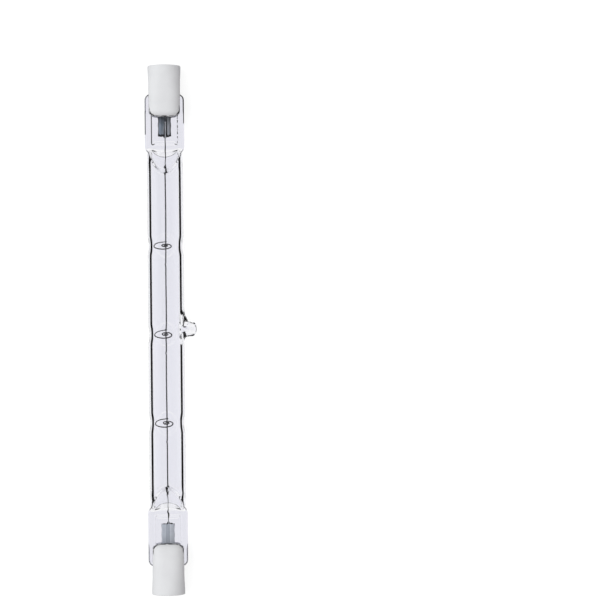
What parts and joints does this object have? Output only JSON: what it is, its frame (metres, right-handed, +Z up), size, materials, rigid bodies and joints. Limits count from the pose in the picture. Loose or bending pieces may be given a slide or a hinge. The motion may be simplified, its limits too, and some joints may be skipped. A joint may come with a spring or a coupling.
{
  "type": "linear halogen bulb",
  "caption": "Linear halogen bulb: a clear quartz tube pinched flat at its ends, with slotted ceramic caps, recessed contacts, an exhaust stub and a coiled filament.",
  "frame": {"origin": "on the surface the lamp rests on, at the bottom centre of its bounding box", "axes": "+Y along the lamp's length, towards the ends named a; +Z up; the tube's axis runs at x -0.95 mm and 4.0 mm up, and the exhaust stub points along +X and 28 degrees downwards"},
  "size_m": [0.0104, 0.118, 0.008],
  "materials": {
    "quartz": "clear",
    "cap_ceramic": "matte",
    "contact_metal": "satin",
    "tungsten": "satin",
    "molybdenum": "satin",
    "cement": "matte"
  },
  "bodies": {
    "root": {"quartz_envelope": "quartz", "filament": "tungsten", "filament_support_1": "tungsten", "filament_support_2": "tungsten", "filament_support_3": "tungsten", "ceramic_cap_a": "cap_ceramic", "ceramic_cap_b": "cap_ceramic", "contact_a": "contact_metal", "contact_b": "contact_metal", "outer_lead_a": "molybdenum", "outer_lead_b": "molybdenum", "seal_foil_a": "molybdenum", "seal_foil_b": "molybdenum", "inner_lead_a": "molybdenum", "inner_lead_b": "molybdenum", "cement_a": "cement", "cement_b": "cement"}
  },
  "joints": []
}
